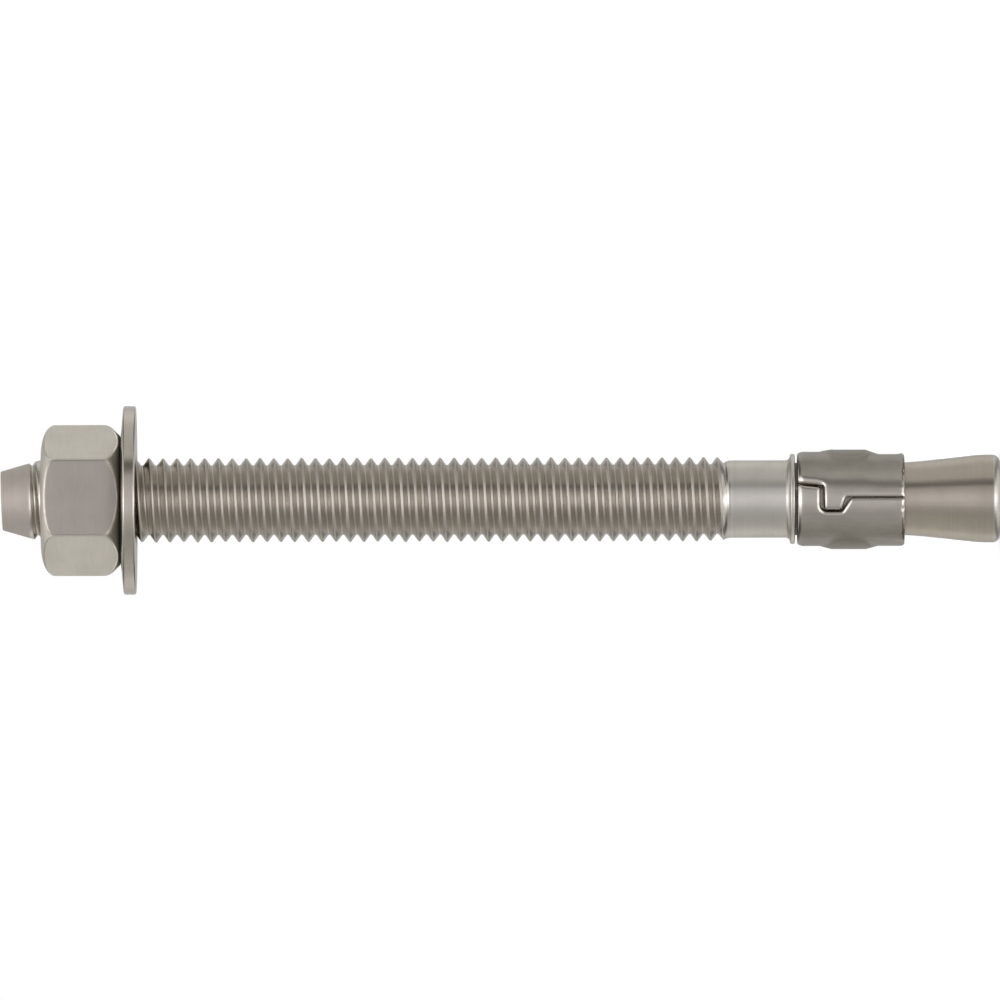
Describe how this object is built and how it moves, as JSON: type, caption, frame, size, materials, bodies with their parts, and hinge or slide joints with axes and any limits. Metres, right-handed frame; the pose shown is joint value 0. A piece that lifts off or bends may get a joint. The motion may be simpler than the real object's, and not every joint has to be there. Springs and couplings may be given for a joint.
{
  "type": "wedge anchor",
  "caption": "Stainless stud-type wedge anchor standing on its cone end: threaded stud with hex nut and flat washer, collar, split expansion sleeve and flared cone end.",
  "frame": {"origin": "middle of the flat cone end that the anchor stands on, which is the centre of the bounding box in X and Y and its lowest point in Z", "axes": "+Z along the anchor from the cone end up to the threaded point, +X towards the sleeve's seam, +Y towards one of the sleeve's two pads"},
  "size_m": [0.0266, 0.0266, 0.1409],
  "materials": {
    "stud_steel": "cold-formed and rolled stainless steel, warm grey satin",
    "sleeve_steel": "rolled stainless strip, darker satin grey",
    "washer_steel": "punched stainless steel, warm grey satin",
    "nut_steel": "cold-formed stainless steel, warm grey satin"
  },
  "bodies": {
    "anchor_body": {"anchor_body": "stud_steel"},
    "expansion_sleeve": {"expansion_sleeve": "sleeve_steel"},
    "washer": {"washer": "washer_steel"},
    "hex_nut": {"hex_nut": "nut_steel"}
  },
  "joints": [
    {"name": "washer_slide", "type": "slide", "parent": "anchor_body", "child": "washer", "axis": [0, 0, -1], "range_m": [-0.0127, 0.08401]},
    {"name": "nut_turn", "type": "hinge", "parent": "washer", "child": "hex_nut", "pos_m": [0, 0, 0.12398], "axis": [0, 0, -1], "range_deg": [-2340, 15480]},
    {"name": "sleeve_slide", "type": "slide", "parent": "anchor_body", "child": "expansion_sleeve", "axis": [0, 0, -1], "range_m": [-0.0003, 0.0042]}
  ],
  "couplings": [
    {"joint": "washer_slide", "follows": "nut_turn", "m_per_rad": 0.00031096}
  ]
}
